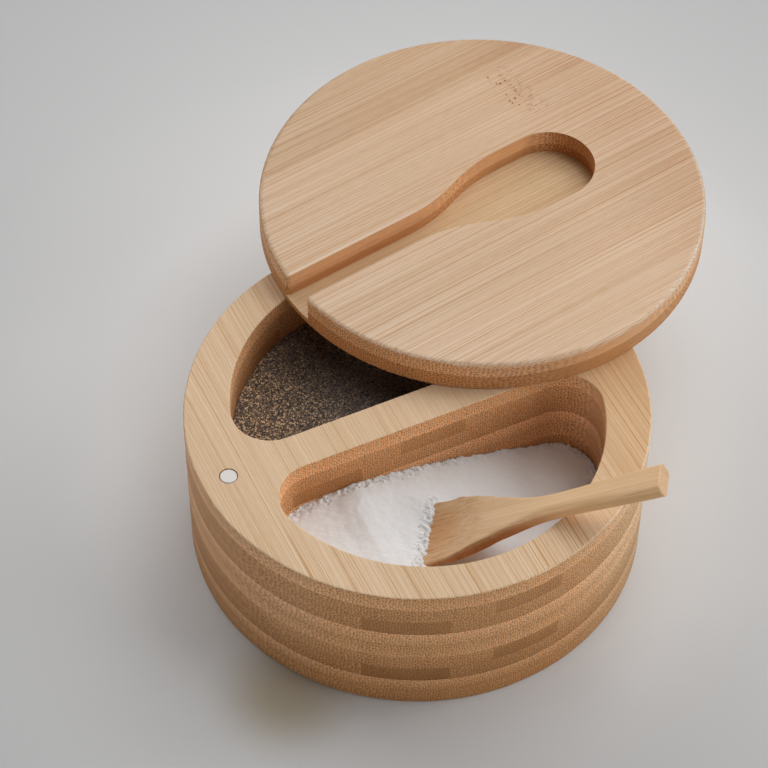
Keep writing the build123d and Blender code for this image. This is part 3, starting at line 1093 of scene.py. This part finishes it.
# Floor, in metres: half its side, the point between block and lid that its painted pool of light fades
# away from, the painted brightness by the distance from there, and where the backdrop starts to show and
# is all that shows. The brightness can't go past 1, so the paint itself is brighter by FLOOR_LIFT
FLOOR_HALF = 6.0
FLOOR_LIFT = 1.25
FLOOR_MIDDLE = (0.0135, 0.0515, 0.0)
FLOOR_LIGHT_POOL = [
    (0.0, 1.0), (0.09, 0.964), (0.12, 0.832), (0.15, 0.731),
    (0.18, 0.678), (0.21, 0.634), (0.25, 0.59), (0.3, 0.56),
]
BACKDROP_START, BACKDROP_FULL = 0.7, 2.2
# The block's warm shade on the floor, deepest to the left of its front
SHADE_MIDDLE = (-0.064, -0.044, 0.0)
SHADE_REACH, SHADE_CORE = 0.027, 0.002
SHADE_TINT = (0.68, 0.6, 0.45)
# How bright the far floor and the sky are to the camera alone
FLOOR_SEEN, SKY_SEEN = 0.44, 0.42

CAMERA_PLACE = (-0.235864, -0.470272, 0.709674)
CAMERA_RIGHT = Vector((0.904408, -0.426649, 0.004114))
CAMERA_UP = Vector((0.328388, 0.702206, 0.631719))
CAMERA_AHEAD = Vector((0.272411, 0.56998, -0.775187))


def floor_paint():
    """Pale grey paint with a painted pool of light that fades outwards, and the block's painted warm shade on
    it.
    """
    settings = bpy.context.scene.salt_box.stage
    made, w, shader = new_material("Floor Paint")
    where = w.place()
    away = w.length(w.vector("SUBTRACT", where, FLOOR_MIDDLE))
    faint = w.times(w.noise(w.vector("MULTIPLY", where, (3, 3, 3)), 2.0), 0.02)
    # the painted pool of light: brighter near the box, darker farther out
    light_pool = w.ramp(w.math("ADD", away, w.math("ADD", faint, -0.01)), FLOOR_LIGHT_POOL, smooth=True)
    near = w.blend(1.0, tuple(c * FLOOR_LIFT for c in settings.floor), light_pool, "MULTIPLY")
    foot = w.length(w.vector("SUBTRACT", where, SHADE_MIDDLE))
    near = w.tint(w.step(foot, SHADE_REACH, SHADE_CORE), near, SHADE_TINT)
    far = w.step(away, BACKDROP_START, BACKDROP_FULL)
    w.paint(shader, w.blend(far, near, (0.0, 0.0, 0.0)), 0.7)
    # the far floor only shows this brightness: it gives no light
    seen = w.node("ShaderNodeLightPath").outputs["Is Camera Ray"]
    w.put(shader.inputs["Emission Strength"], w.times(seen, far, FLOOR_SEEN))
    shader.inputs["Emission Color"].default_value = (1.0, 1.0, 1.0, 1.0)
    return made


def lay_floor():
    """A square floor under the box."""
    half = FLOOR_HALF
    corners = [(-half, -half, 0), (half, -half, 0), (half, half, 0), (-half, half, 0)]
    mesh = bpy.data.meshes.new("floor")
    mesh.from_pydata(corners, [], [(0, 1, 2, 3)])
    floor = add_object("floor", mesh)
    wear(floor.name, floor_paint())


def light_sky():
    """Faint even light from all round, and the backdrop that the camera sees."""
    world = bpy.data.worlds.new("studio")
    bpy.context.scene.world = world
    world.use_nodes = True
    back = world.node_tree.nodes["Background"]
    back.inputs["Color"].default_value = (1.0, 1.0, 1.0, 1.0)
    w = Wiring(world.node_tree)
    seen = w.node("ShaderNodeLightPath").outputs["Is Camera Ray"]
    sky = bpy.context.scene.salt_box.stage.sky
    w.put(back.inputs["Strength"], w.scaled(seen, SKY_SEEN, sky))


def area_light(name, place, size, power):
    """A soft square light that points at the box."""
    data = bpy.data.lights.new(name, "AREA")
    data.size = size
    data.energy = power
    obj = add_object(name, data)
    obj.location = place
    obj.rotation_euler = (LIGHT_TARGET - place).to_track_quat("-Z", "Y").to_euler()
    obj.visible_camera = False


def hang_lights():
    """The lights round the box."""
    settings = bpy.context.scene.salt_box.stage
    for name, around, above, share in LIGHTS:
        around, above = math.radians(around), math.radians(above)
        level = math.cos(above)
        away = Vector((math.cos(around) * level, math.sin(around) * level, math.sin(above)))
        # the low ones are smaller, so that they stay above the floor
        size = settings.softness * min(1.0, 1.1 * math.tan(above) + 0.28)
        area_light(name, LIGHT_TARGET + away * LIGHT_DISTANCE, size, settings.power * share)


def place_camera():
    """The photograph's camera."""
    scene = bpy.context.scene
    data = bpy.data.cameras.new("camera")
    data.sensor_width = 36.0
    data.sensor_fit = "HORIZONTAL"
    data.lens = scene.salt_box.stage.lens
    data.clip_start = 0.01
    camera = add_object("camera", data)
    turn = Matrix((CAMERA_RIGHT, CAMERA_UP, -CAMERA_AHEAD)).transposed()
    camera.matrix_world = Matrix.Translation(CAMERA_PLACE) @ turn.to_4x4()
    scene.camera = camera
    scene.view_settings.view_transform = "Standard"
    scene.view_settings.look = "None"


def set_stage():
    """Pale floor, soft light and the photograph's camera."""
    lay_floor()
    light_sky()
    hang_lights()
    place_camera()


# Add-on


class SALTBOX_OT_finish_block(bpy.types.Operator):
    """Puts bamboo on the plies of the block"""

    bl_idname = "saltbox.finish_block"
    bl_label = "Finish Block"

    def execute(self, context):
        finish_block()
        return {"FINISHED"}


class SALTBOX_OT_finish_lid(bpy.types.Operator):
    """Puts bamboo on the plies of the lid"""

    bl_idname = "saltbox.finish_lid"
    bl_label = "Finish Lid"

    def execute(self, context):
        finish_lid()
        return {"FINISHED"}


class SALTBOX_OT_finish_metal(bpy.types.Operator):
    """Finishes the pin and the magnets"""

    bl_idname = "saltbox.finish_metal"
    bl_label = "Finish Metal"

    def execute(self, context):
        finish_metal()
        return {"FINISHED"}


class SALTBOX_OT_carve_spoon(bpy.types.Operator):
    """Makes the sanded spoon"""

    bl_idname = "saltbox.carve_spoon"
    bl_label = "Carve Spoon"

    def execute(self, context):
        carve_spoon()
        return {"FINISHED"}


class SALTBOX_OT_heap_salt(bpy.types.Operator):
    """Makes the salt and its loose grains"""

    bl_idname = "saltbox.heap_salt"
    bl_label = "Heap Salt"

    def execute(self, context):
        heap_salt()
        return {"FINISHED"}


class SALTBOX_OT_pour_pepper(bpy.types.Operator):
    """Makes the pepper and its flakes"""

    bl_idname = "saltbox.pour_pepper"
    bl_label = "Pour Pepper"

    def execute(self, context):
        pour_pepper()
        return {"FINISHED"}


class SALTBOX_OT_set_stage(bpy.types.Operator):
    """Adds the floor, the lights and the camera"""

    bl_idname = "saltbox.set_stage"
    bl_label = "Set Stage"

    def execute(self, context):
        set_stage()
        return {"FINISHED"}


OPERATORS = [
    SALTBOX_OT_finish_block,
    SALTBOX_OT_finish_lid,
    SALTBOX_OT_finish_metal,
    SALTBOX_OT_carve_spoon,
    SALTBOX_OT_heap_salt,
    SALTBOX_OT_pour_pepper,
    SALTBOX_OT_set_stage,
]


class SALTBOX_PT_panel(bpy.types.Panel):
    """Lists the steps that make the box."""

    bl_label = "Salt Box"
    bl_space_type = "VIEW_3D"
    bl_region_type = "UI"
    bl_category = "Salt Box"

    def draw(self, context):
        for made in OPERATORS:
            self.layout.operator(made.bl_idname)


GROUPS = [BambooSettings, SaltSettings, PepperSettings, SpoonSettings, StageSettings, SaltBoxSettings]


def register():
    for made in GROUPS + OPERATORS + [SALTBOX_PT_panel]:
        bpy.utils.register_class(made)
    bpy.types.Scene.salt_box = PointerProperty(type=SaltBoxSettings)


def unregister():
    del bpy.types.Scene.salt_box
    for made in reversed(GROUPS + OPERATORS + [SALTBOX_PT_panel]):
        bpy.utils.unregister_class(made)


def main():
    register()
    for made in OPERATORS:
        group, name = made.bl_idname.split(".")
        getattr(getattr(bpy.ops, group), name)()


if __name__ == "__main__":
    main()
